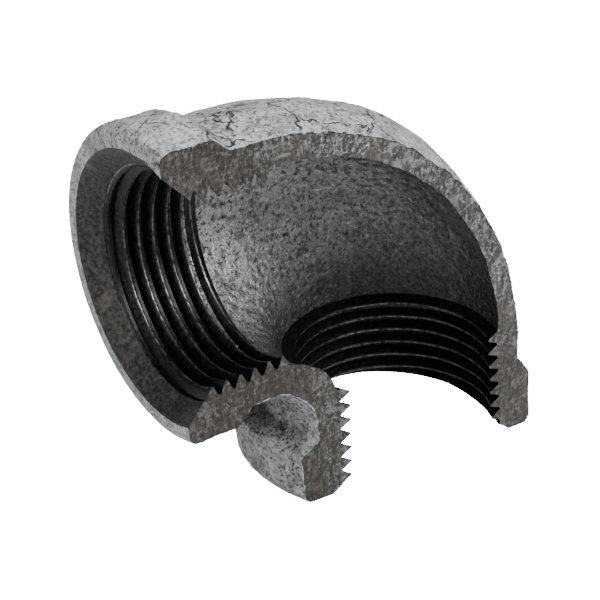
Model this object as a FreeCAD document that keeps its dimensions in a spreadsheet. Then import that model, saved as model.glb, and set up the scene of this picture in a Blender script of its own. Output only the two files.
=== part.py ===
# Cutaway 90 degree pipe elbow in galvanised malleable iron, with beaded ends and a 1 inch taper
# pipe thread in both sockets. It is one casting, so every sub-part below is a named region of it.
# Frame: origin at the centre of the outlet mouth on its end face, +Z up the outlet's axis, the
# inlet's mouth facing -X at the height where the axes cross, the sawn section facing -Y.
# The outlet's end was never faced square: its bead, end face and countersink lean together.
import FreeCAD, Part
import Sketcher
import os

V = FreeCAD.Vector
os.makedirs("parts", exist_ok=True)
doc = FreeCAD.newDocument("elbow")

# Driving dimensions in millimetres. A depth runs inwards from a port's end face.
DIMENSIONS = {
    "inletReach": (39.5, "crossing of the port axes to the inlet's end face"),
    "outletReach": (39.45, "crossing of the port axes to the centre of the outlet's end face"),
    "inletLean": (0.0, "degrees that the inlet's end leans from square"),
    "inletLeanSide": (0.0, "degrees from +Y towards +X of the line that the inlet's end leans about"),
    "outletLean": (7.0, "degrees that the outlet's end leans from square, lower at the sawn heel"),
    "outletLeanSide": (50.1, "degrees from +Y towards +X of the line that the outlet's end leans about"),
    "wallRadius": (20.3, "outer radius of the pipe wall"),
    "outerBend": (26.3, "centreline radius of the outside of the bend"),
    "innerBend": (24.0, "centreline radius of the bore in the bend"),
    "boreRadius": (16.4, "radius of the bore in the bend"),
    "bandRadius": (22.7, "outer radius of the bead round a mouth"),
    "bandRoot": (18.6, "inner radius that a bead is drawn to before the wall is taken out of it"),
    "bandWidth": (8.0, "width of the bead at its full radius"),
    "bandShoulder": (4.8, "depth of the slope from the bead's full radius to its root"),
    "bandRounding": (1.2, "rounding of the bead's two outer corners"),
    "inletSinkRadius": (19.3, "radius of the inlet's countersink at the end face"),
    "inletSinkDepth": (6.0, "depth over which the inlet's countersink narrows by sinkFall"),
    "outletSinkRadius": (18.2, "radius of the outlet's countersink at the end face"),
    "outletSinkDepth": (4.2, "depth over which the outlet's countersink narrows by sinkFall"),
    "sinkFall": (6.0, "radius lost by the cone that cuts a countersink"),
    "rootRadius": (16.62, "thread root radius at the end face"),
    "crestRadius": (15.15, "thread crest radius at the end face"),
    "taper": (0.03125, "radius lost per millimetre of depth, 1 in 16 on diameter"),
    "threadPitch": (2.309, "11 threads to the inch"),
    "crestFlat": (0.36, "width of a thread crest"),
    "rootFlat": (0.36, "width between two threads at the root"),
    "threadSeat": (0.01, "how far the thread form stands off the root cone"),
    "inletStart": (2.07, "depth of the first crest at the inlet's throat side"),
    "outletStart": (1.44, "depth of the first crest at the outlet's heel side"),
    "runOut": (2.5, "how far outside a mouth the barrel and the thread are begun"),
    "sawOffset": (6.9, "distance of the sawn plane in front of the port axes"),
    "beyondSize": (32.0, "radius and length of the cylinder that ends a mouth"),
    "blockSide": (130.0, "side of the block in front of the sawn plane"),
}
sheet = doc.addObject("Spreadsheet::Sheet", "Sizes")
for row, (alias, (value, meaning)) in enumerate(DIMENSIONS.items(), start=1):
    sheet.set(f"A{row}", meaning)
    sheet.set(f"B{row}", str(value))
    sheet.setAlias(f"B{row}", alias)
doc.recompute()


def cells(text):
    """Points every <dimension> in a formula at its cell in the sheet."""
    return text.replace("<", "Sizes.").replace(">", "")


def bind(thing, **formulas):
    for prop, text in formulas.items():
        thing.setExpression(prop.replace("_", "."), cells(text))


def add(kind, name, **formulas):
    thing = doc.addObject(kind, name)
    bind(thing, **formulas)
    return thing


def combine(kind, name, base, tool):
    """A Part::Cut or Part::Common of two shapes."""
    result = doc.addObject(kind, name)
    result.Base = base
    result.Tool = tool
    return result


# What belongs to a port is drawn with the mouth on XY and the depth along +Z, then placed. Each
# port has the degrees it turns about Y, and where the centre of its mouth is in X and Z.
PORTS = {
    "inlet": ("90", "-<inletReach>", "<outletReach>"),
    "outlet": ("0", "0", "0"),
}


def place(thing, port, lean="0", back="0"):
    """Moves something drawn at a mouth to its port, leaning, or begun back outside the mouth."""
    turn, x, z = PORTS[port]
    thing.Placement = FreeCAD.Placement(V(0, 0, 0), FreeCAD.Rotation(V(0, 1, 0), 90))
    bind(thing, Placement_Rotation_Axis_x=f"sin(<{port}LeanSide> * 1 deg)")
    bind(thing, Placement_Rotation_Axis_y=f"cos(<{port}LeanSide> * 1 deg)")
    bind(thing, Placement_Rotation_Angle=f"({turn} + {lean}) * 1 deg")
    bind(thing, Placement_Base_x=f"{x} - {back} * sin({turn} * 1 deg)")
    bind(thing, Placement_Base_z=f"{z} - {back} * cos({turn} * 1 deg)")


# ---- Shapes that several sub-parts share -----------------------------------------------------
def bend_torus(name, ring, tube):
    """A quarter torus from above the outlet to the inlet's axis, tangent to both."""
    torus = add("Part::Torus", name, Radius1=ring, Radius2=tube)
    torus.Angle3 = 90
    torus.Placement = FreeCAD.Placement(V(0, 0, 0), FreeCAD.Rotation(V(1, 0, 0), 90))
    bind(torus, Placement_Base_x=f"-{ring}", Placement_Base_z=f"<outletReach> - {ring}")
    return torus


def mouth(port):
    """What the open end takes away: all beyond its end face, and the countersink behind it."""
    lean = f"<{port}Lean>"
    beyond = add("Part::Cylinder", f"{port}Beyond", Radius="<beyondSize>", Height="<beyondSize>")
    place(beyond, port, lean=f"{lean} + 180")
    sink = add("Part::Cone", f"{port}Countersink", Radius1=f"<{port}SinkRadius>")
    bind(sink, Radius2=f"<{port}SinkRadius> - <sinkFall>", Height=f"<{port}SinkDepth>")
    place(sink, port, lean=lean)
    opened = doc.addObject("Part::MultiFuse", f"{port}Mouth")
    opened.Shapes = [beyond, sink]
    return opened


def root_cone(port):
    """The cone through the thread's roots, from outside the mouth to the bend."""
    depth = f"(<{port}Reach> - <innerBend>)"
    cone = add("Part::Cone", f"{port}RootCone", Radius1="<rootRadius> + <taper> * <runOut>")
    bind(cone, Radius2=f"<rootRadius> - <taper> * {depth}", Height=f"{depth} + <runOut>")
    place(cone, port, back="<runOut>")
    return cone


def outline(body, corners):
    """A closed sketch on XZ whose corners are pairs of formulas, radius and depth."""
    plane = next(f for f in body.Origin.OriginFeatures if f.Role == "XZ_Plane")
    sketch = body.newObject("Sketcher::SketchObject", f"{body.Name}Outline")
    sketch.AttachmentSupport = [(plane, "")]
    sketch.MapMode = "FlatFace"
    # The corners start on a small arc and their constraints carry them to their places.
    spots = [V(1 + i, 1 + i * i, 0) for i in range(len(corners))]
    for here, there in zip(spots, spots[1:] + spots[:1]):
        sketch.addGeometry(Part.LineSegment(here, there), False)
    for i, (spot, corner) in enumerate(zip(spots, corners)):
        sketch.addConstraint(Sketcher.Constraint("Coincident", i - 1 if i else len(spots) - 1, 2, i, 1))
        for kind, text, now in zip(("DistanceX", "DistanceY"), corner, spot):
            index = sketch.addConstraint(Sketcher.Constraint(kind, -1, 1, i, 1, now))
            sketch.setExpression(f"Constraints[{index}]", cells(text))
    return sketch


# ---- Sub-parts -------------------------------------------------------------------------------
front = add("Part::Box", "SawnAway", Length="<blockSide>", Width="<blockSide>", Height="<blockSide>")
bind(front, Placement_Base_x="-<blockSide> / 2", Placement_Base_z="-<blockSide> / 4")
bind(front, Placement_Base_y="-<sawOffset> - <blockSide>")
subparts = []


def finish(label, whole):
    """Saws a sub-part open and lists it under its own name."""
    piece = combine("Part::Cut", label.title().replace("_", ""), whole, front)
    piece.Label = label
    subparts.append(piece)


def barrel(port, name, depth):
    """A solid cylinder of the wall's radius, from outside the mouth to a depth."""
    whole = add("Part::Cylinder", name, Radius="<wallRadius>", Height=f"{depth} + <runOut>")
    place(whole, port, back="<runOut>")
    return whole


def socket_wall(port, roots, opened):
    """The straight barrel round a socket, bored to the thread's root cone and countersunk."""
    whole = barrel(port, f"{port}Barrel", f"(<{port}Reach> - <outerBend>)")
    bored = combine("Part::Cut", f"{port}Bored", whole, roots)
    finish(f"{port}_socket_wall", combine("Part::Cut", f"{port}Opened", bored, opened))


def bend_wall(roots):
    """The elbow's turn between the two barrels, with the inner ends of both thread cones."""
    turn = bend_torus("OuterBend", "<outerBend>", "<wallRadius>")
    passage = doc.addObject("Part::MultiFuse", "Passage")
    passage.Shapes = [bend_torus("BoreBend", "<innerBend>", "<boreRadius>"), *roots]
    finish("bend_wall", combine("Part::Cut", "BendBored", turn, passage))


def band(port):
    """The bead cast round a mouth to stiffen it."""
    body = doc.addObject("PartDesign::Body", f"{port}Bead")
    turn = body.newObject("PartDesign::Revolution", f"{port}BeadTurn")
    turn.Profile = outline(
        body,
        [
            ("<bandRoot>", "0"),
            ("<bandRadius>", "0"),
            ("<bandRadius>", "<bandWidth>"),
            ("<bandRoot>", "<bandWidth> + <bandShoulder>"),
        ],
    )
    turn.ReferenceAxis = (turn.Profile[0], ["V_Axis"])
    turn.Angle = 360
    doc.recompute()
    widest = float(sheet.get("bandRadius"))
    corners = []
    for number, edge in enumerate(turn.Shape.Edges, start=1):
        if edge.Curve.TypeId == "Part::GeomCircle" and abs(edge.Curve.Radius - widest) < 1e-6:
            corners.append(f"Edge{number}")
    rounded = body.newObject("PartDesign::Fillet", f"{port}BeadRounding")
    rounded.Base = (turn, corners)
    bind(rounded, Radius="<bandRounding>")
    body.Tip = rounded
    place(body, port, lean=f"<{port}Lean>")
    core = barrel(port, f"{port}BeadCore", f"<{port}Reach>")
    finish(f"{port}_band", combine("Part::Cut", f"{port}BeadRing", body, core))


def thread(port, opened):
    """The right-hand taper thread, wound inwards from outside the mouth to the bend."""
    body = doc.addObject("PartDesign::Body", f"{port}Thread")
    # The winding begins a turn before the first crest, in what the mouth takes away.
    first = f"(<runOut> + <{port}Start> - <threadPitch>)"
    fall = f"<taper> * (<runOut> - {first})"
    root = f"<rootRadius> + {fall} - <threadSeat>"
    crest = f"<crestRadius> + {fall}"
    profile = outline(
        body,
        [
            (root, f"{first} - (<threadPitch> - <rootFlat>) / 2"),
            (crest, f"{first} - <crestFlat> / 2"),
            (crest, f"{first} + <crestFlat> / 2"),
            (root, f"{first} + (<threadPitch> - <rootFlat>) / 2"),
        ],
    )
    winding = body.newObject("PartDesign::AdditiveHelix", f"{port}Winding")
    winding.Profile = profile
    winding.ReferenceAxis = (profile, ["V_Axis"])
    winding.Mode = "pitch-height-angle"
    bind(winding, Pitch="<threadPitch>", Angle="-atan(<taper>)")
    depth = f"(<{port}Reach> - <innerBend> + <runOut>)"
    bind(winding, Height=f"{depth} + <threadPitch> / 2 - {first}")
    body.Tip = winding
    place(body, port, back="<runOut>")
    reach = add("Part::Cylinder", f"{port}Reach", Radius="<wallRadius>", Height=depth)
    place(reach, port, back="<runOut>")
    trimmed = combine("Part::Common", f"{port}Trimmed", body, reach)
    finish(f"{port}_thread", combine("Part::Cut", f"{port}Entered", trimmed, opened))


roots = {port: root_cone(port) for port in PORTS}
bend_wall(roots.values())
for port in PORTS:
    opened = mouth(port)
    socket_wall(port, roots[port], opened)
    band(port)
    thread(port, opened)
doc.recompute()

# ---- Checks and export -----------------------------------------------------------------------
for thing in doc.Objects:
    if "Invalid" in thing.State or "Error" in thing.State:
        raise RuntimeError(f"{thing.Name} did not recompute: {thing.State}")
for piece in subparts:
    shape = piece.Shape
    if shape.isNull() or not shape.isValid() or not shape.Solids:
        raise RuntimeError(f"{piece.Label} has no valid solid")
for piece in subparts:
    piece.Shape.exportStep(f"parts/{piece.Label}.step")
    print(piece.Label, len(piece.Shape.Solids), "solids", round(piece.Shape.Volume, 1), "mm3")
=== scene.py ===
import math

import bpy
import numpy as np
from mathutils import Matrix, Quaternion, Vector, noise


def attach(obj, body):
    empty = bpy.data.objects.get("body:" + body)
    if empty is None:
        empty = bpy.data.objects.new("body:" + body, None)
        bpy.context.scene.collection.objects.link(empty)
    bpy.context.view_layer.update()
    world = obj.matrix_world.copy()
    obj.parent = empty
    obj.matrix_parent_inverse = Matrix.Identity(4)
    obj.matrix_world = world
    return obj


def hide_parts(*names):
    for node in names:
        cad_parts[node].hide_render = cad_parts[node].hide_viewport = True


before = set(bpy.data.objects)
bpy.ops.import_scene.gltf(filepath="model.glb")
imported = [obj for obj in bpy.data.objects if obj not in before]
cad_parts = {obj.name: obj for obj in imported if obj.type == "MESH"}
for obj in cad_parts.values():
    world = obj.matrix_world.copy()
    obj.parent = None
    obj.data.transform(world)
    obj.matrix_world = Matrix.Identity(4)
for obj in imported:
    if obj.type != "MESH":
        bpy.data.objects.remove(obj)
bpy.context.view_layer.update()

millimetre = 0.001  # lengths are in millimetres up to the point where a mesh is made

elbow = {
    "inletReach": 39.5,
    "outletReach": 39.45,
    "leanAcross": -0.0788,
    "leanBack": 0.0942,
    "saw": 6.84,
    "wallAtSaw": 20.05,
    "wallBehind": 20.75,
    "outerRing": 26.3,
    "innerRing": 24.0,
    "bore": 16.4,
}
detail = {"around": 232, "bend": 190, "layers": 10, "beadLayers": 4, "aroundThread": 260}
pieces = []

# Camera
view = {
    "place": (-129.37, -172.5, 137.81),
    "aim": (-14.31, 2.33, 28.16),
    "roll": -4.01,
    "lens": 99.4,
    "sensor": 36,
    "nearest": 0.01,
    "farthest": 20,
}
cameraData = bpy.data.cameras.new("camera")
cameraData.lens = view["lens"]
cameraData.sensor_width = view["sensor"]
cameraData.clip_start = view["nearest"]
cameraData.clip_end = view["farthest"]
camera = bpy.data.objects.new("camera", cameraData)
bpy.context.scene.collection.objects.link(camera)
camera.location = Vector(view["place"]) * millimetre
aim = Vector(view["aim"]) * millimetre
rolled = Quaternion((0, 0, 1), math.radians(view["roll"]))
camera.rotation_mode = "QUATERNION"
camera.rotation_quaternion = (aim - camera.location).to_track_quat("-Z", "Y") @ rolled
bpy.context.scene.camera = camera
print("camera placed")

# Bumps of the cast surfaces
skin = {
    "swell": 0.18,
    "swellSize": 6.0,
    "grain": 0.11,
    "grainSize": 0.9,
    "pitDepth": 0.2,
    "pitSize": 1.4,
    "pitReach": 0.32,
    "patchSize": 5.0,
    "lowHeight": 16,
    "lowFade": 6,
    "lowExtra": 0.8,
}
casting = {"swell": 0.16, "swellSize": 4.5, "grain": 0.11, "grainSize": 1.1}
roughness = 0.9


def fractalAt(points, size, octaves=3, shift=0.0):
    moved = points.reshape(-1, 3) / size + shift
    values = [noise.fractal(Vector(p), roughness, 2.0, octaves) for p in moved.tolist()]
    return np.array(values).reshape(points.shape[:-1])


def pitsAt(points, size, reach, shift=0.0):
    moved = points.reshape(-1, 3) / size + shift
    nearest = np.array([noise.voronoi(Vector(p))[0][0] for p in moved.tolist()])
    return np.clip(1 - nearest / reach, 0, 1).reshape(points.shape[:-1])


def skinBumps(points):
    # The pits come in patches, and are deeper on the outlet's end.
    pits = pitsAt(points, skin["pitSize"], skin["pitReach"]) ** 0.7
    patches = np.clip(fractalAt(points, skin["patchSize"], 2, 7.0) * 3 + 0.7, 0, 1)
    low = np.clip((skin["lowHeight"] - points[..., 2]) / skin["lowFade"], 0, 1)
    swells = skin["swell"] * fractalAt(points, skin["swellSize"], 2)
    grains = skin["grain"] * fractalAt(points, skin["grainSize"])
    return swells + grains - skin["pitDepth"] * pits * patches * (1 + skin["lowExtra"] * low)


def castBumps(points):
    swells = casting["swell"] * fractalAt(points, casting["swellSize"], 2, 5.0)
    return swells + casting["grain"] * fractalAt(points, casting["grainSize"], 3, 3.0)


# Sections of the elbow. A station is a point on a centreline and the direction there away
# from the bend's own centre.
def roundBend(turn, ring):
    away = np.stack([np.sin(turn), np.zeros_like(turn), np.cos(turn)], -1)
    middle = np.array([-ring, 0, elbow["outletReach"] - ring])
    return middle + ring * away, away


def placeOnSection(centre, away, radius, angle):
    sideways = np.array([0.0, 1.0, 0.0])
    across = np.cos(angle)[..., None] * away + np.sin(angle)[..., None] * sideways
    return centre + radius[..., None] * across


def sawnAngles(radius, share, saw=elbow["saw"]):
    dip = np.arcsin(saw / radius)
    return -dip + share * (math.pi + 2 * dip)


def behind(angle):
    # 0 at the saw cut and 1 at the back
    return np.clip(np.sin(angle) + 0.34, 0, 1) ** 0.8


def ringGrid(centre, away, radiusOf, bumpsOf, fade):
    # Every vertex starts on the plain shape and takes its bumps there, then the two ends go
    # back to the saw.
    share = np.linspace(0, 1, detail["around"] + 1)[None, :]
    centre, away = centre[:, None, :], away[:, None, :]
    radius = radiusOf(np.zeros_like(share))
    for _ in range(2):
        angle = sawnAngles(radius, share)
        radius = radiusOf(angle)
    plain = placeOnSection(centre, away, radius, angle)
    if bumpsOf is not None:
        radius = radius + bumpsOf(plain) * fade
        angle = sawnAngles(radius, share)
    return placeOnSection(centre, away, radius, angle)


def shell(outer, inner, layers, crest=None):
    # A closed box of quads between two grids of the same size. Each face knows its side.
    share = np.linspace(0, 1, layers + 1)[None, None, :, None]
    block = outer[:, :, None, :] * (1 - share) + inner[:, :, None, :] * share
    number = np.arange(block.size // 3).reshape(block.shape[:3])

    def quads(grid, flip):
        corners = [grid[:-1, :-1], grid[1:, :-1], grid[1:, 1:], grid[:-1, 1:]]
        if flip:
            corners.reverse()
        return np.stack(corners, -1).reshape(-1, 4)

    sides = {
        "outer": quads(number[:, :, 0], False),
        "inner": quads(number[:, :, -1], True),
        "firstCut": quads(number[:, 0, :], True),
        "lastCut": quads(number[:, -1, :], False),
        "firstEnd": quads(number[0, :, :], False),
        "lastEnd": quads(number[-1, :, :], True),
    }
    faces = np.concatenate(list(sides.values()))
    tags = np.concatenate([[tag] * len(side) for tag, side in sides.items()])
    used, faces = np.unique(faces, return_inverse=True)
    thickness = np.linalg.norm(outer - inner, axis=-1)[:, :, None]
    toOuter = (thickness * share[..., 0]).reshape(-1)[used]
    row = np.broadcast_to(np.arange(len(outer))[:, None, None], number.shape).reshape(-1)[used]
    high = np.zeros(number.shape)
    if crest is not None:
        high[:, :, -1] = crest
    return {
        "crest": high.reshape(-1)[used],
        "points": block.reshape(-1, 3)[used],
        "faces": faces.reshape(-1, 4),
        "tags": tags,
        "toOuter": toOuter,
        "row": row,
    }


def signedVolume(points, faces):
    a, b, c, d = (points[faces[:, i]] for i in range(4))
    first = np.einsum("ij,ij->i", a, np.cross(b, c))
    second = np.einsum("ij,ij->i", a, np.cross(c, d))
    return (first + second).sum() / 6


scores = {"slant": (0.83, 0.55), "spacing": 0.45, "length": 7.0, "depth": 0.03, "clearance": 0.02}
sharpAngle = 42
noEdge = 5  # added to a vertex's distance from the outer edge where there is no torn edge


def sawMarks(points):
    # The blade left slanting scores on the section, never in front of the plane of the cut.
    inX, inZ = scores["slant"]
    slant = points[:, 0] * inX + points[:, 2] * inZ
    along = points[:, 0] * -inZ + points[:, 2] * inX
    places = np.stack([slant / scores["spacing"], along / scores["length"], np.zeros_like(slant)], -1)
    return scores["clearance"] + scores["depth"] * np.clip(fractalAt(places, 1.0, 3, 11.0), -0.6, 0.6)


def makePiece(name, shells, finishOf, slot, node):
    points, faces, looks, palette = [], [], [], []
    attributes = {"toOuter": [], "crest": []}
    for part in shells:
        place = part["points"].copy()
        cut = np.isin(part["tags"], ["firstCut", "lastCut"])
        onCut = np.zeros(len(place), bool)
        onCut[part["faces"][cut].ravel()] = True
        place[onCut, 1] += sawMarks(place[onCut])
        turned = part["faces"]
        if signedVolume(place, turned) < 0:
            turned = turned[:, ::-1]
        faces.append(turned + sum(len(p) for p in points))
        points.append(place)
        for look in finishOf(part):
            if look not in palette:
                palette.append(look)
            looks.append(palette.index(look))
        for key, values in attributes.items():
            values.append(part[key])
    mesh = bpy.data.meshes.new(name)
    allPoints = np.concatenate(points) * millimetre
    mesh.from_pydata(allPoints.tolist(), [], np.concatenate(faces).tolist())
    for look in palette:
        mesh.materials.append(finishes[look])
    mesh.polygons.foreach_set("material_index", np.array(looks, np.int32))
    mesh.polygons.foreach_set("use_smooth", np.ones(len(mesh.polygons), bool))
    for key, values in attributes.items():
        layer = mesh.attributes.new(key, "FLOAT", "POINT")
        layer.data.foreach_set("value", np.concatenate(values).astype(np.float32))
    mesh.update()
    mesh.set_sharp_from_angle(angle=math.radians(sharpAngle))
    piece = bpy.data.objects.new(name, mesh)
    bpy.context.scene.collection.objects.link(piece)
    pieces.append((piece, slot, node))
    print(name, len(mesh.polygons), "faces")


class Shader:
    # A material with the few nodes that its recipe asks for, one after another. Sizes are in
    # millimetres.
    def __init__(self, name):
        self.material = bpy.data.materials.new(name)
        self.material.use_nodes = True
        self.tree = self.material.node_tree
        self.surface = self.tree.nodes["Principled BSDF"]
        self.where = self.tree.nodes.new("ShaderNodeTexCoord").outputs["Object"]

    def feed(self, socket, value):
        if isinstance(value, bpy.types.NodeSocket):
            self.tree.links.new(value, socket)
        else:
            socket.default_value = value

    def node(self, kind, inputs=None, **settings):
        made = self.tree.nodes.new(kind)
        for key, value in settings.items():
            setattr(made, key, value)
        for key, value in (inputs or {}).items():
            self.feed(made.inputs[key], value)
        return made

    def noise(self, size, octaves=4.0, rough=0.55, warp=0.0, where=None):
        inputs = {"Vector": where or self.where, "Scale": 1000 / size, "Detail": octaves}
        inputs.update({"Roughness": rough, "Distortion": warp})
        return self.node("ShaderNodeTexNoise", inputs).outputs["Fac"]

    def cells(self, size, feature="F1", where=None):
        inputs = {"Vector": where or self.where, "Scale": 1000 / size}
        return self.node("ShaderNodeTexVoronoi", inputs, feature=feature).outputs["Distance"]

    def drifted(self, size, distance):
        # Object coordinates pushed about by a noise, for lines that wander
        inputs = {"Vector": self.where, "Scale": 1000 / size, "Detail": 4.0}
        wander = self.node("ShaderNodeTexNoise", inputs).outputs["Color"]
        inputs = {0: wander, "Scale": distance * millimetre}
        push = self.node("ShaderNodeVectorMath", inputs, operation="SCALE")
        ends = {0: self.where, 1: push.outputs["Vector"]}
        return self.node("ShaderNodeVectorMath", ends, operation="ADD").outputs["Vector"]

    def stretched(self, turn, scale):
        inputs = {"Vector": self.where, "Rotation": turn, "Scale": scale}
        return self.node("ShaderNodeMapping", inputs).outputs["Vector"]

    def span(self, value, low, high, toLow=0.0, toHigh=1.0):
        inputs = {"Value": value, "From Min": low, "From Max": high, "To Min": toLow, "To Max": toHigh}
        return self.node("ShaderNodeMapRange", inputs).outputs["Result"]

    def math(self, operation, first, second):
        return self.node("ShaderNodeMath", {0: first, 1: second}, operation=operation).outputs["Value"]

    def times(self, first, second):
        return self.math("MULTIPLY", first, second)

    def mix(self, factor, first, second):
        made = self.node("ShaderNodeMix", data_type="RGBA")
        for number, value in ((0, factor), (6, first), (7, second)):
            self.feed(made.inputs[number], value)
        return made.outputs[2]

    def stored(self, name):
        return self.node("ShaderNodeAttribute", attribute_name=name).outputs["Fac"]

    def part(self, axis):
        return self.node("ShaderNodeSeparateXYZ", {0: self.where}).outputs[axis]

    def bump(self, height, distance, strength=1.0):
        inputs = {"Height": height, "Distance": distance * millimetre, "Strength": strength}
        return self.node("ShaderNodeBump", inputs).outputs["Normal"]

    def finish(self, color, rough, metal, normal=None):
        for key, value in {"Base Color": color, "Roughness": rough, "Metallic": metal}.items():
            self.feed(self.surface.inputs[key], value)
        if normal is not None:
            self.feed(self.surface.inputs["Normal"], normal)
        return self.material


def grey(value, warm=0.0):
    return (value * (1 + warm), value, value * (1 - warm), 1)


zincLook = {
    "pale": 0.30,
    "dull": 0.17,
    "stain": 0.045,
    "speck": 0.015,
    "pit": 0.008,
    "fleck": 0.6,
    "crackSpacing": 9.0,
    "lowPaintedShade": 0.3,
    "metal": 0.55,
    "bump": 0.30,
}


def galvanisedSkin():
    s = Shader("galvanisedSkin")
    cloud = s.noise(4.0, 6.0, 0.65, 0.6)
    fine = s.noise(0.7, 6.0, 0.7)
    speckle = s.noise(0.5, 6.0, 0.75)
    color = s.mix(s.span(cloud, 0.38, 0.62), grey(zincLook["dull"]), grey(zincLook["pale"]))
    color = s.mix(s.times(s.span(fine, 0.50, 0.42), 0.85), color, grey(zincLook["stain"]))
    color = s.mix(s.times(s.span(speckle, 0.45, 0.38), 0.9), color, grey(zincLook["speck"]))

    # Small pits and bright flecks, both in patches
    patchy = s.span(s.noise(3.1, 3.0), 0.42, 0.55)
    specks = s.times(s.span(s.cells(0.9), 0.26, 0.10), patchy)
    color = s.mix(specks, color, grey(zincLook["pit"]))
    bright = s.times(s.span(s.cells(0.6), 0.2, 0.08), s.span(s.noise(2.3, 2.0), 0.5, 0.6))
    color = s.mix(s.times(bright, 0.7), color, grey(zincLook["fleck"]))

    # Cracks in the coating, along the top only
    seams = s.cells(zincLook["crackSpacing"], "DISTANCE_TO_EDGE", where=s.drifted(1000 / 420, 4.0))
    broken = s.times(s.span(seams, 0.020, 0.006), s.span(s.noise(3.4, 3.0), 0.40, 0.50))
    cracks = s.times(broken, s.span(s.part("Z"), 0.040, 0.050))
    color = s.mix(cracks, color, grey(0.006))

    # The outlet's end is torn, and painted shade darkens it towards the bottom
    low = s.span(s.part("Z"), 0.026, 0.014)
    color = s.mix(s.times(low, 0.05), color, grey(0.03))
    torn = s.noise(0.8, 5.0, 0.7, 1.2)
    hollow = s.times(s.span(torn, 0.43, 0.40), s.span(s.noise(3.0, 3.0), 0.44, 0.50))
    hollow = s.times(hollow, low)
    color = s.mix(hollow, color, grey(zincLook["pit"]))
    shade = s.times(s.span(s.noise(7.0, 4.0, 0.6), 0.50, 0.62), low)
    color = s.mix(s.times(shade, zincLook["lowPaintedShade"]), color, grey(0.03))

    specks = s.math("MAXIMUM", specks, hollow)
    rough = s.span(fine, 0.3, 0.7, 0.45, 0.65)
    height = s.math("SUBTRACT", s.math("ADD", fine, s.times(speckle, 0.4)), specks)
    height = s.math("SUBTRACT", height, s.times(cracks, 1.5))
    return s.finish(color, rough, zincLook["metal"], s.bump(height, zincLook["bump"]))


boreLook = {
    "pale": 0.30,
    "dull": 0.19,
    "ripple": 0.06,
    "speck": 0.006,
    "glint": 0.55,
    "darkTone": 0.02,
    "shadow": 0.012,
    "metal": 0.8,
    "bump": 0.55,
}


def asCastBore():
    s = Shader("asCastBore")
    cloud = s.noise(9.0, 4.0, 0.6, 0.5)
    ripple = s.noise(0.95, 5.0, 0.62)
    grain = s.noise(0.62, 6.0, 0.72)
    color = s.mix(s.span(cloud, 0.35, 0.65), grey(boreLook["dull"], 0.03), grey(boreLook["pale"], 0.02))
    color = s.mix(s.times(s.span(ripple, 0.48, 0.42), 0.8), color, grey(boreLook["ripple"], 0.05))
    color = s.mix(s.times(s.span(grain, 0.45, 0.40), 0.95), color, grey(boreLook["speck"]))
    color = s.mix(s.times(s.span(grain, 0.58, 0.63), 0.8), color, grey(boreLook["glint"]))

    # Painted shade towards the heel, and painted shade down by the outlet's thread
    paintedShadeTowardsHeel = s.times(s.span(s.part("X"), -0.018, 0.012), 0.6)
    color = s.mix(paintedShadeTowardsHeel, color, grey(boreLook["darkTone"], 0.03))
    low = s.span(s.part("Z"), 0.030, 0.020)
    color = s.mix(s.times(low, 0.75), color, grey(boreLook["shadow"], 0.03))

    rough = s.span(ripple, 0.3, 0.7, 0.40, 0.22)
    height = s.math("ADD", ripple, s.times(grain, 0.35))
    return s.finish(color, rough, boreLook["metal"], s.bump(height, boreLook["bump"]))


threadLook = {"dark": 0.004, "light": 0.016, "worn": 0.22, "metal": 0.9, "bump": 0.10}


def machinedThread():
    s = Shader("machinedThread")
    fine = s.noise(0.6, 4.0, 0.6)
    color = s.mix(s.span(fine, 0.4, 0.65), grey(threadLook["dark"]), grey(threadLook["light"], 0.06))
    # The crests are rubbed bright here and there, with a painted highlight along them
    rubbedAndHighlighted = s.span(s.noise(1.0, 5.0, 0.75), 0.40, 0.60)
    worn = s.times(s.span(s.stored("crest"), 0.45, 0.9), rubbedAndHighlighted)
    color = s.mix(s.times(worn, 0.55), color, grey(threadLook["worn"]))
    rough = s.span(fine, 0.3, 0.7, 0.34, 0.5)
    return s.finish(color, rough, threadLook["metal"], s.bump(fine, threadLook["bump"], 0.7))


sinkLook = {"dark": 0.004, "light": 0.028, "cloud": 0.06, "metal": 0.75, "rough": 0.45, "bump": 0.25}


def machinedSink():
    s = Shader("machinedSink")
    fine = s.noise(0.6, 6.0, 0.7)
    cloud = s.noise(4.0, 3.0)
    color = s.mix(s.span(fine, 0.42, 0.58), grey(sinkLook["dark"]), grey(sinkLook["light"], 0.12))
    color = s.mix(s.span(cloud, 0.56, 0.80), color, grey(sinkLook["cloud"], 0.06))
    return s.finish(color, sinkLook["rough"], sinkLook["metal"], s.bump(fine, sinkLook["bump"], 0.9))


sawnLook = {
    "pale": 0.12,
    "dark": 0.018,
    "speck": 0.006,
    "fleck": 0.36,
    "scoreTurn": -40,
    "scoreSize": 0.36,
    "rust": (0.050, 0.042, 0.033, 1),
    "brown": (0.012, 0.008, 0.004, 1),
    "edgeGlint": 0.5,
    "metal": 0.7,
    "bump": 0.20,
}


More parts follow.
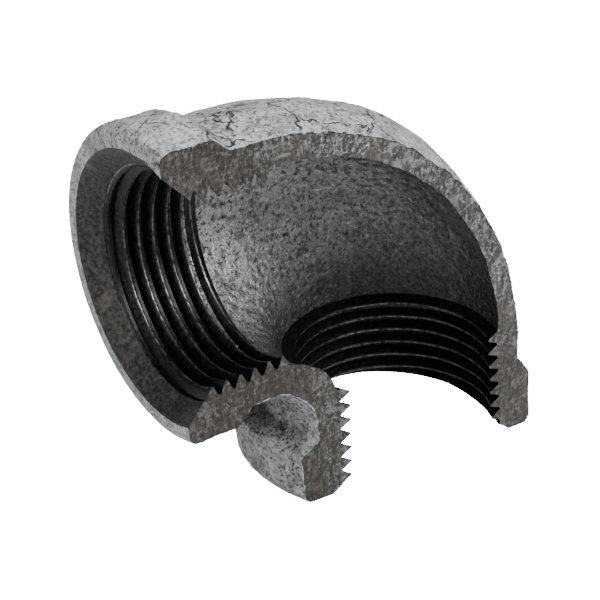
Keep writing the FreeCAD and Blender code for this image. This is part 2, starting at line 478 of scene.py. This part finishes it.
def sawnSection():
    s = Shader("sawnSection")
    lined = s.stretched((0, math.radians(sawnLook["scoreTurn"]), 0), (1, 1, 0.09))
    scored = s.noise(sawnLook["scoreSize"], 4.0, 0.7, 0.0, lined)
    fine = s.noise(0.62, 6.0, 0.8)
    cloud = s.noise(5.0, 4.0, 0.6)
    color = s.mix(s.span(scored, 0.43, 0.57), grey(sawnLook["dark"], 0.03), grey(sawnLook["pale"], 0.03))
    color = s.mix(s.span(fine, 0.49, 0.44), color, grey(sawnLook["speck"], 0.04))
    color = s.mix(s.times(s.span(fine, 0.54, 0.60), 0.8), color, grey(sawnLook["fleck"]))
    color = s.mix(s.times(s.span(cloud, 0.48, 0.60), 0.6), color, sawnLook["rust"])

    # Swirls of smeared metal
    swirl = s.noise(3.2, 6.0, 0.7, 1.8)
    color = s.mix(s.times(s.span(swirl, 0.50, 0.44), 0.55), color, grey(0.016, 0.04))
    color = s.mix(s.times(s.span(swirl, 0.55, 0.62), 0.45), color, grey(0.24))

    # Browner on the inlet and the throat than along the heel, and brown again at its foot
    outside = s.span(s.math("ADD", s.part("X"), s.part("Z")), 0.028, 0.040)
    socketSide = s.span(s.part("X"), -0.014, -0.021)
    share = s.math("ADD", 0.35, s.times(socketSide, 0.3))
    color = s.mix(outside, s.mix(share, color, sawnLook["brown"]), color)
    lowHeel = s.times(s.span(s.part("Z"), 0.016, 0.010), s.span(s.part("X"), 0.010, 0.014))
    color = s.mix(s.times(lowHeel, 0.35), color, sawnLook["brown"])

    # A torn dark line and a painted highlight on the burr follow the outer edge
    ragged = s.noise(0.9, 4.0, 0.7)
    edge = s.stored("toOuter")
    torn = s.span(s.math("ADD", edge, s.times(ragged, -1.1)), -0.30, -0.44)
    color = s.mix(torn, color, grey(0.006))
    glint = s.times(s.span(edge, 0.16, 0.06), s.span(s.noise(1.3, 4.0), 0.46, 0.60))
    color = s.mix(glint, color, grey(sawnLook["edgeGlint"]))

    rough = s.span(scored, 0.3, 0.7, 0.36, 0.55)
    height = s.math("ADD", scored, s.times(fine, 0.8))
    return s.finish(color, rough, sawnLook["metal"], s.bump(height, sawnLook["bump"]))


def plainFinish(name, color, rough):
    s = Shader(name)
    return s.finish(color, rough, 0.8)


finishes = {
    "burr": plainFinish("brightBurr", grey(0.28), 0.4),
    "darkTone": plainFinish("darkBurr", grey(0.02), 0.6),
    "skin": galvanisedSkin(),
    "bore": asCastBore(),
    "thread": machinedThread(),
    "sink": machinedSink(),
    "sawn": sawnSection(),
}
print("materials made")


# Walls
bend = {"heelSwell": 1.7, "swellAt": 0.47, "swellLength": 0.23, "swellAngle": 0.2, "swellWidth": 0.32}
thread = {
    "root": 16.62,
    "crest": 15.05,
    "taper": 0.03125,
    "pitch": 2.309,
    "crestWidth": 0.34,
    "rootWidth": 0.42,
    "seat": 0.12,
    "wear": 0.04,
}
inlet = {
    "start": 2.07, "sinkRadius": 19.3, "sinkBehind": 0.0, "sinkSlope": 1.0,
    "length": 16.6, "firstTurn": 0, "turns": 7, "fullness": 0.0,
}
outlet = {
    "start": 1.44, "sinkRadius": 18.2, "sinkBehind": 0.9, "sinkSlope": 1.43,
    "length": 17.5, "firstTurn": -1, "turns": 7, "fullness": 2.2,
}
cutFinish = {"firstCut": "sawn", "lastCut": "sawn", "firstEnd": "sawn", "lastEnd": "sawn"}


def bell(value, middle, spread):
    return np.exp(-(((value - middle) / spread) ** 2))


def rise(value, start, length):
    # 0 before the start, 1 once the length is past
    return np.clip((value - start) / length, 0, 1)


def wallRadius(angle):
    return elbow["wallAtSaw"] + (elbow["wallBehind"] - elbow["wallAtSaw"]) * behind(angle)


def rootAt(depth):
    return thread["root"] - thread["taper"] * depth


def sidesToFinish(table):
    def finishOf(part):
        return [table[tag] for tag in part["tags"].tolist()]
    return finishOf


def faceLift(up, out, isInlet):
    # How far the end face stands inwards of the mouth's centre, where the end leans
    return 0 * up if isInlet else elbow["leanAcross"] * up + elbow["leanBack"] * out


def bendCentres(stations):
    # The bore's own centreline: a little straight, its quarter turn, and a little straight
    ring = elbow["innerRing"]
    lead = elbow["outerRing"] - ring
    total = 2 * lead + ring * math.pi / 2
    run = stations * total
    centre, away = roundBend(np.clip((run - lead) / ring, 0, math.pi / 2), ring)
    centre[:, 0] -= np.clip(lead - run, 0, None)
    centre[:, 2] -= np.clip(run - (total - lead), 0, None)
    blend = 0.8
    inside = rise(run, lead, blend) * np.clip((total - lead - run) / blend, 0, 1)
    return centre, away, inside


stations = np.linspace(0, 1, detail["bend"] + 1)
centre, away = roundBend(stations * math.pi / 2, elbow["outerRing"])
swellAlong = bend["heelSwell"] * bell(stations, bend["swellAt"], bend["swellLength"])[:, None]


def bendRadius(angle):
    # The heel of the bend stands fuller behind the cut than a plain round wall would.
    return wallRadius(angle) + swellAlong * bell(angle, bend["swellAngle"], bend["swellWidth"])


bendOuter = ringGrid(centre, away, bendRadius, skinBumps, 1.0)
centre, away, inside = bendCentres(stations)
straightRoot = rootAt(elbow["inletReach"] - elbow["innerRing"] - 1)
boreRadius = (straightRoot + (elbow["bore"] - straightRoot) * inside)[:, None]
bendInner = ringGrid(centre, away, lambda angle: boreRadius + 0 * angle, castBumps, inside[:, None])
bendShell = shell(bendOuter, bendInner, detail["layers"])
bendFinish = dict(cutFinish, outer="skin", inner="bore")
makePiece("bendWall", [bendShell], sidesToFinish(bendFinish), "cast_iron_skin", "bend_wall")


def placeInSocket(radius, angle, deep, isInlet):
    up, out = radius * np.cos(angle), radius * np.sin(angle)
    if isInlet:
        return np.stack([deep - elbow["inletReach"], out, up + elbow["outletReach"]], -1)
    return np.stack([up, out, deep], -1)


def socketShell(depths, length, isInlet):
    # Depths run from the end face to the bend. Near the mouth a leaning end carries its
    # stations along.
    depths = depths[:, None]
    share = np.linspace(0, 1, detail["around"] + 1)[None, :]

    def grid(radiusOf, bumpsOf, fade):
        radius = radiusOf(depths, np.zeros_like(share) + math.pi / 2)
        for _ in range(3):
            angle = sawnAngles(radius, share)
            lift = faceLift(radius * np.cos(angle), radius * np.sin(angle), isInlet)
            deep = depths + lift * (1 - depths / length)
            radius = radiusOf(depths, angle, deep)
        radius = np.broadcast_to(radius, angle.shape)

        def placed(radius, angle):
            return placeInSocket(radius, angle, deep + 0 * radius, isInlet)

        if bumpsOf is not None:
            radius = radius + bumpsOf(placed(radius, angle)) * fade(depths)
            angle = sawnAngles(radius, share)
        return placed(radius, angle)

    return grid


bead = {
    "radiusAtSaw": 22.2,
    "radiusBehind": 22.4,
    "width": 7.6,
    "shoulder": 3.0,
    "rounding": 1.5,
    "nose": 0.9,
    "fullAt": 2.8,
    "fullSpread": 0.62,
}
beadEnd = bead["width"] + bead["shoulder"]
sinkRows, sinkBumps, seamBlend = 14, 0.35, 0.8


def beadRadius(port, depths, angle):
    # The bead is fuller and wider on the throat's side of the mouth, behind the cut.
    fuller = port["fullness"] * bell(angle, bead["fullAt"], bead["fullSpread"])
    width = bead["width"] + fuller
    full = bead["radiusAtSaw"] + (bead["radiusBehind"] - bead["radiusAtSaw"]) * behind(angle)
    full = full + fuller
    start = np.clip(1 - depths / bead["rounding"], 0, 1)
    nose = bead["nose"] * bead["rounding"] * (1 - np.sqrt(1 - start ** 2))
    drop = rise(depths, width, beadEnd - width)
    drop = drop * drop * (3 - 2 * drop)
    return full - nose - (full - wallRadius(angle)) * drop


def pastBead(depths):
    # The wall's bumps come in just before the bead ends.
    return rise(depths, beadEnd - seamBlend, seamBlend)


def buildSocket(label, port, isInlet):
    reach = elbow["inletReach"] if isInlet else elbow["outletReach"]
    length = reach - elbow["outerRing"]
    sinkEnd = (port["sinkRadius"] - thread["root"]) / (port["sinkSlope"] - thread["taper"])
    depths = np.concatenate([
        np.linspace(0, sinkEnd, sinkRows + 1)[:-1],
        np.linspace(sinkEnd, beadEnd, 28)[:-1],
        np.linspace(beadEnd, length, 14),
    ])
    grid = socketShell(depths, length, isInlet)

    def inside(depths, angle, deep=None):
        deep = depths if deep is None else deep
        sink = port["sinkRadius"] + port["sinkBehind"] * behind(angle) - port["sinkSlope"] * depths
        return np.maximum(rootAt(deep), sink)

    def outside(depths, angle, deep=None):
        return wallRadius(angle) + 0 * depths

    def sinkFade(depths):
        return sinkBumps * rise(depths, 0, 0.4) * (depths < sinkEnd)

    part = shell(grid(outside, skinBumps, pastBead), grid(inside, castBumps, sinkFade), detail["layers"])
    # Under the bead the wall's outside is buried, so the saw left no torn edge there.
    part["toOuter"] = part["toOuter"] + noEdge * (part["row"] <= len(depths) - 15)
    wallFinish = dict(cutFinish, outer="skin", firstEnd="skin")

    def finishOf(part):
        rows = part["row"][part["faces"]].max(1)
        return [
            wallFinish.get(tag) or ("sink" if row <= sinkRows else "thread")
            for tag, row in zip(part["tags"].tolist(), rows.tolist())
        ]

    makePiece(label + "SocketWall", [part], finishOf, "cast_iron_skin", label + "_socket_wall")

    rounded = np.linspace(0, math.pi / 2, 9)[:-1]
    beadDepths = np.concatenate([
        bead["rounding"] * (1 - np.cos(rounded)),
        np.linspace(bead["rounding"], beadEnd, 44),
    ])
    grid = socketShell(beadDepths, length, isInlet)

    def full(depths, angle, deep=None):
        return beadRadius(port, depths, angle)

    def beadFade(depths):
        # Bumps of the bead give way to bumps of the wall where the two meet.
        ending, started = np.clip((beadEnd - depths) / 0.6, 0, 1), np.clip(depths / 0.5, 0.35, 1)
        return started * ending + rise(depths, beadEnd - 0.6, 0.6)

    part = shell(grid(full, skinBumps, beadFade), grid(outside, skinBumps, pastBead), detail["beadLayers"])
    beadFinish = dict(cutFinish, outer="skin", inner="skin", firstEnd="skin", lastEnd="skin")
    makePiece(label + "Bead", [part], sidesToFinish(beadFinish), "cast_iron_skin", label + "_band")


# Threads
fit = {"faceGap": 0.04, "fadeOut": 0.9, "sinkGap": 0.03, "sinkStep": 0.2, "rootGap": 0.02, "proud": 0.006}


def toothAcross():
    # The tooth's outline: how far across its pitch, and how high, for each step over it
    half = (thread["pitch"] - thread["rootWidth"]) / 2
    crest = thread["crestWidth"] / 2
    steps = np.array([-1, -0.76, -0.52, -0.3, -0.2, -0.12, 0, 0.12, 0.2, 0.3, 0.52, 0.76, 1])
    offset = half * steps
    climb = np.clip((half - np.abs(offset)) / (half - crest), 0, 1)
    return offset, climb


def toothGrid(port, isInlet, turn, height, seat):
    offset, _ = toothAcross()
    share = np.linspace(0, 1, detail["aroundThread"] + 1)[:, None]
    radius = np.full((len(share), len(offset)), thread["crest"])
    for _ in range(4):
        angle = sawnAngles(radius, share, elbow["saw"] - fit["proud"])
        wound = (math.pi - angle) if isInlet else angle
        middle = port["start"] + thread["pitch"] * (turn + wound / (2 * math.pi))
        lift = faceLift(radius * np.cos(angle), radius * np.sin(angle), isInlet)
        face = np.maximum(middle + offset - lift, fit["faceGap"])
        deep = face + lift
        ending = np.clip((port["length"] - middle) / fit["fadeOut"], 0, 1)
        sink = port["sinkRadius"] + port["sinkBehind"] * behind(angle) - port["sinkSlope"] * face
        sink = sink + fit["sinkGap"]
        sink = sink + fit["sinkStep"] * np.clip((sink - thread["root"]) / 0.3 + 1, 0, 1)
        worn = thread["wear"] * (1 + np.sin(angle * 9 + turn * 2.1))
        tooth = (thread["root"] - thread["crest"] - worn) * height * ending
        # Past the straight part the bore turns away, so the last turn is rooted deeper.
        rooted = seat * (1 + 4 * rise(deep, 15, 2))
        radius = np.maximum(rootAt(deep) + fit["rootGap"] - tooth, sink) + rooted
    return placeInSocket(radius, angle, deep, isInlet)


def buildThread(label, port, isInlet):
    offset, climb = toothAcross()
    sharp = np.clip(1 - np.abs(offset) / 0.3, 0, 1)
    parts = []
    for turn in range(port["firstTurn"], port["turns"]):
        outer = toothGrid(port, isInlet, turn, 0 * climb[None, :], thread["seat"])
        inner = toothGrid(port, isInlet, turn, climb[None, :], 0)
        crest = np.broadcast_to(sharp[None, :], inner.shape[:2])
        part = shell(outer, inner, 1, crest)
        part["tags"] = np.array([endsAreCuts.get(tag, tag) for tag in part["tags"].tolist()])
        part["toOuter"] = part["toOuter"] + noEdge
        parts.append(part)
    table = dict(outer="thread", inner="thread", firstEnd="thread", lastEnd="thread")
    table.update(firstCut="sawn", lastCut="sawn")
    makePiece(label + "Thread", parts, sidesToFinish(table), "machined_thread", label + "_thread")


# A tooth's rows run round the bore, so that its first and last ends are what the saw cut.
endsAreCuts = {
    "firstEnd": "firstCut", "lastEnd": "lastCut", "firstCut": "firstEnd", "lastCut": "lastEnd",
}
buildSocket("inlet", inlet, True)
buildSocket("outlet", outlet, False)
buildThread("inlet", inlet, True)
buildThread("outlet", outlet, False)


# Burrs along the sawn edges
edgeBurrs = {
    "heelBurrs": {"path": bendOuter[:, 0], "count": 330, "size": 0.16, "seed": 3, "look": "burr"},
    "throatBurrs": {"path": bendOuter[:, -1], "count": 90, "size": 0.13, "seed": 5, "look": "burr"},
    "boreBurrs": {"path": bendInner[:, 0], "count": 200, "size": 0.11, "seed": 9, "look": "darkTone"},
}
burrShape = {
    "shiftLow": (-0.16, 0, -0.16),
    "shiftHigh": (0.16, 0.10, 0.16),
    "stretchLow": (0.2, 0.2, 0.2),
    "stretchHigh": (1.0, 0.45, 0.8),
    "behindCut": 0.03,
}


def burrTree():
    tree = bpy.data.node_groups.new("burrsAlongEdge", "GeometryNodeTree")
    wanted = [
        ("Edge", "NodeSocketGeometry"), ("Count", "NodeSocketInt"), ("Size", "NodeSocketFloat"),
        ("Seed", "NodeSocketInt"), ("Finish", "NodeSocketMaterial"),
    ]
    for label, kind in wanted:
        tree.interface.new_socket(label, in_out="INPUT", socket_type=kind)
    tree.interface.new_socket("Burrs", in_out="OUTPUT", socket_type="NodeSocketGeometry")
    inputs, outputs = tree.nodes.new("NodeGroupInput"), tree.nodes.new("NodeGroupOutput")

    def add(kind, links=None, values=None, **settings):
        made = tree.nodes.new(kind)
        for key, value in settings.items():
            setattr(made, key, value)
        for key, value in (values or {}).items():
            made.inputs[key].default_value = value
        for key, socket in (links or {}).items():
            tree.links.new(socket, made.inputs[key])
        return made

    def spread(low, high):
        made = add("FunctionNodeRandomValue", {"Seed": inputs.outputs["Seed"]}, data_type="FLOAT_VECTOR")
        made.inputs[0].default_value = low
        made.inputs[1].default_value = high
        return made.outputs[0]

    curve = add("GeometryNodeMeshToCurve", {"Mesh": inputs.outputs["Edge"]})
    spaced = add("GeometryNodeResampleCurve", {
        "Curve": curve.outputs["Curve"], "Count": inputs.outputs["Count"],
    })
    shift = spread(Vector(burrShape["shiftLow"]) * millimetre, Vector(burrShape["shiftHigh"]) * millimetre)
    moved = add("GeometryNodeSetPosition", {"Geometry": spaced.outputs["Curve"], "Offset": shift})
    flake = add("GeometryNodeMeshIcoSphere", values={"Radius": 1.0, "Subdivisions": 1})
    stretch = spread(burrShape["stretchLow"], burrShape["stretchHigh"])
    sized = add("ShaderNodeVectorMath", {0: stretch, "Scale": inputs.outputs["Size"]}, operation="SCALE")
    placed = add("GeometryNodeInstanceOnPoints", {
        "Points": moved.outputs["Geometry"], "Instance": flake.outputs["Mesh"],
        "Rotation": spread((0, 0, 0), (0, 3.14, 0)), "Scale": sized.outputs["Vector"],
    })
    real = add("GeometryNodeRealizeInstances", {"Geometry": placed.outputs["Instances"]})
    painted = add("GeometryNodeSetMaterial", {
        "Geometry": real.outputs["Geometry"], "Material": inputs.outputs["Finish"],
    })
    tree.links.new(painted.outputs["Geometry"], outputs.inputs["Burrs"])
    return tree


def makeBurrs(name, edge, tree):
    mesh = bpy.data.meshes.new(name + "Path")
    path = (edge["path"] + np.array([0, burrShape["behindCut"], 0])) * millimetre
    mesh.from_pydata(path.tolist(), [(i, i + 1) for i in range(len(path) - 1)], [])
    source = bpy.data.objects.new(name + "Path", mesh)
    bpy.context.scene.collection.objects.link(source)
    modifier = source.modifiers.new("burrs", "NODES")
    modifier.node_group = tree
    values = {
        "Count": edge["count"], "Size": edge["size"] * millimetre, "Seed": edge["seed"],
        "Finish": finishes[edge["look"]],
    }
    for item in tree.interface.items_tree:
        if item.in_out == "INPUT" and item.name in values:
            modifier[item.identifier] = values[item.name]
    graph = bpy.context.evaluated_depsgraph_get()
    made = bpy.data.meshes.new_from_object(source.evaluated_get(graph))
    bpy.data.objects.remove(source)
    piece = bpy.data.objects.new(name, made)
    bpy.context.scene.collection.objects.link(piece)
    pieces.append((piece, "cast_iron_skin", None))
    print(name, len(made.polygons), "faces")


alongEdge = burrTree()
for name, edge in edgeBurrs.items():
    makeBurrs(name, edge, alongEdge)


# Floor and light
ground = {"side": 3.0, "level": -0.0022, "tone": 0.55, "rough": 0.9, "glow": 25.0}
side, level = ground["side"], ground["level"]
floorMesh = bpy.data.meshes.new("floor")
corners = [(-side, -side, level), (side, -side, level), (side, side, level), (-side, side, level)]
floorMesh.from_pydata(corners, [], [(0, 1, 2, 3)])
floor = bpy.data.objects.new("floor", floorMesh)
floorLook = bpy.data.materials.new("paleFloor")
floorLook.use_nodes = True
floorTree = floorLook.node_tree
floorSurface = floorTree.nodes["Principled BSDF"]
floorSurface.inputs["Base Color"].default_value = grey(ground["tone"])
floorSurface.inputs["Roughness"].default_value = ground["rough"]
glow = floorTree.nodes.new("ShaderNodeEmission")
glow.inputs["Strength"].default_value = ground["glow"]
seen = floorTree.nodes.new("ShaderNodeLightPath")
shown = floorTree.nodes.new("ShaderNodeMixShader")
floorTree.links.new(seen.outputs["Is Camera Ray"], shown.inputs[0])
floorTree.links.new(floorSurface.outputs["BSDF"], shown.inputs[1])
floorTree.links.new(glow.outputs["Emission"], shown.inputs[2])
floorTree.links.new(shown.outputs["Shader"], floorTree.nodes["Material Output"].inputs["Surface"])
floorMesh.materials.append(floorLook)
bpy.context.scene.collection.objects.link(floor)

lamps = {
    "topLight": {"place": (0.15, 0.05, 0.75), "size": 0.45, "power": 13.0},
    "keyLight": {"place": (0.22, -0.55, 0.50), "size": 0.3, "power": 12.5},
    "leftLight": {"place": (-0.6, -0.1, 0.30), "size": 0.4, "power": 5.0},
}
target = Vector((-0.012, 0, 0.032))
for name, lamp in lamps.items():
    data = bpy.data.lights.new(name, "AREA")
    data.size = lamp["size"]
    data.energy = lamp["power"]
    light = bpy.data.objects.new(name, data)
    bpy.context.scene.collection.objects.link(light)
    light.location = lamp["place"]
    light.rotation_mode = "QUATERNION"
    light.rotation_quaternion = (target - light.location).to_track_quat("-Z", "Y")

studioGlow = 0.22
world = bpy.data.worlds.new("studio")
world.use_nodes = True
world.node_tree.nodes["Background"].inputs["Color"].default_value = (1, 1, 1, 1)
world.node_tree.nodes["Background"].inputs["Strength"].default_value = studioGlow
bpy.context.scene.world = world
print("stage set")

for piece, slotName, node in pieces:
    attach(piece, "root")
    if node is not None:
        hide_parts(node)
